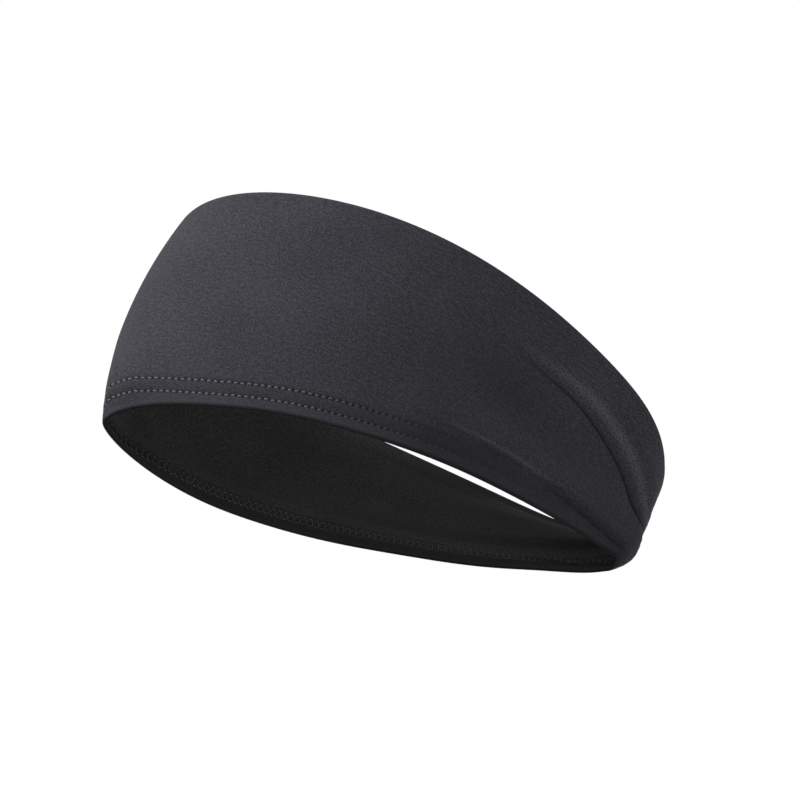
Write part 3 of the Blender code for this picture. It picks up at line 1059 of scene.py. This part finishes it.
CHARCOAL = knit_material(
    "charcoal_marl_knit",
    dark=(0.0060, 0.0058, 0.0075),
    light=(0.0230, 0.0220, 0.0271),
    wear_and_highlight=(0.036, 0.035, 0.041),
    sheen=0.01,
)
BLACK = knit_material(
    "black_jersey",
    dark=(0.0060, 0.0060, 0.0060),
    light=(0.0405, 0.0405, 0.0405),
    wear_and_highlight=(0.028, 0.028, 0.028),
    sheen=0.002,
)
NEEDLE = thread_material("needle_thread", (0.020, 0.020, 0.024), (0.086, 0.083, 0.094), 0.6)
LOOPER = thread_material("looper_thread", (0.007, 0.007, 0.007), (0.035, 0.035, 0.035), 0.7)
SEAM = thread_material("seam_thread", (0.01, 0.01, 0.01), (0.04, 0.04, 0.04), 0.65)

outer_cloth = put_piece(
    panel_mesh("outer_cloth", lining=False), CHARCOAL, "outer_panel"
)
lining_cloth = put_piece(
    panel_mesh("lining_cloth", lining=True), BLACK, "lining_panel"
)
put_piece(
    needle_thread("needle_stitches_lower", LOWER_ROW, seed=3),
    NEEDLE, "hem_needle_thread_lower",
)
put_piece(
    needle_thread("needle_stitches_upper", UPPER_ROW, seed=5),
    NEEDLE, "hem_needle_thread_upper",
)
put_piece(looper_thread("looper_stitches"), LOOPER, "hem_looper_thread")
put_piece(overlock_thread("top_seam_stitches"), SEAM, "top_seam_thread")
put_piece(
    back_seam_thread("outer_back_seam_stitches", -BACK_SEAM_INSET),
    SEAM, "outer_back_seam_thread",
)
put_piece(
    back_seam_thread("lining_back_seam_stitches", BACK_SEAM_INSET - MIDDLE_STACK),
    SEAM, "lining_back_seam_thread",
)

# ---------------------------------------------------------------- stage, light and camera

# Heights above the hem edge of what the camera and the lights point at, and of the floor, which
# lies below the camera because the camera looks up at the band.
LOOK_HEIGHT = 0.04
LIT_HEIGHT = 0.045
FLOOR_HEIGHT = -0.65
FLOOR_HALF_SIZE = 12.0


def look_axes(azimuth, elevation):
    """Camera axes: right, up and back, for a camera at this azimuth and elevation."""
    a, e = math.radians(azimuth), math.radians(elevation)
    back = Vector((math.sin(a) * math.cos(e), -math.cos(a) * math.cos(e), math.sin(e)))
    right = Vector((math.cos(a), math.sin(a), 0.0))
    return right, back.cross(right), back


def add_camera(azimuth, elevation, roll, distance, focal, aside, above):
    """A camera that looks aside and above the band's middle, rolled about its line of sight."""
    right, up, back = look_axes(azimuth, elevation)
    target = Vector((0.0, 0.0, LOOK_HEIGHT)) + right * aside + up * above
    turn = math.radians(roll)
    image_right = right * math.cos(turn) + up * math.sin(turn)
    image_up = up * math.cos(turn) - right * math.sin(turn)
    data = bpy.data.cameras.new("camera")
    data.sensor_width = 36.0
    data.lens = focal
    camera = bpy.data.objects.new("camera", data)
    axes = Matrix((image_right, image_up, back)).transposed().to_4x4()
    camera.matrix_world = Matrix.Translation(target + back * distance) @ axes
    bpy.context.scene.collection.objects.link(camera)
    bpy.context.scene.camera = camera


def add_area_light(name, azimuth, elevation, distance, size, power):
    """A square soft white light that faces the band."""
    _, _, back = look_axes(azimuth, elevation)
    data = bpy.data.lights.new(name, "AREA")
    data.size = size
    data.energy = power
    light = bpy.data.objects.new(name, data)
    light.location = Vector((0.0, 0.0, LIT_HEIGHT)) + back * distance
    light.rotation_mode = "QUATERNION"
    light.rotation_quaternion = back.to_track_quat("Z", "Y")
    light.visible_camera = False
    bpy.context.scene.collection.objects.link(light)


def add_floor(height, half_size):
    mesh = bpy.data.meshes.new("floor")
    signs = ((-1, -1), (1, -1), (1, 1), (-1, 1))
    corners = [(x * half_size, y * half_size, height) for x, y in signs]
    mesh.from_pydata(corners, [], [(0, 1, 2, 3)])
    mesh.materials.append(floor_material())
    floor = bpy.data.objects.new("floor", mesh)
    bpy.context.scene.collection.objects.link(floor)


def light_world(strength):
    """Plain white light from all round, which is the backdrop too."""
    world = bpy.data.worlds.new("studio")
    world.use_nodes = True
    backdrop = world.node_tree.nodes["Background"]
    backdrop.inputs["Color"].default_value = toned((1.0, 1.0, 1.0))
    backdrop.inputs["Strength"].default_value = strength
    bpy.context.scene.world = world


bpy.context.scene.view_settings.view_transform = "Standard"
light_world(strength=1.0)
add_floor(FLOOR_HEIGHT, FLOOR_HALF_SIZE)
add_area_light("key", azimuth=38.0, elevation=1.0, distance=0.37, size=0.26, power=4.15)
add_area_light("fill", azimuth=165.0, elevation=-15.0, distance=0.5, size=0.3, power=2.1)
add_area_light("side", azimuth=262.0, elevation=20.0, distance=0.45, size=0.3, power=4.0)
add_camera(
    azimuth=90.06,
    elevation=-46.41,
    roll=15.38,
    distance=0.75,
    focal=90.98,
    aside=3.42 * MM,
    above=8.07 * MM,
)
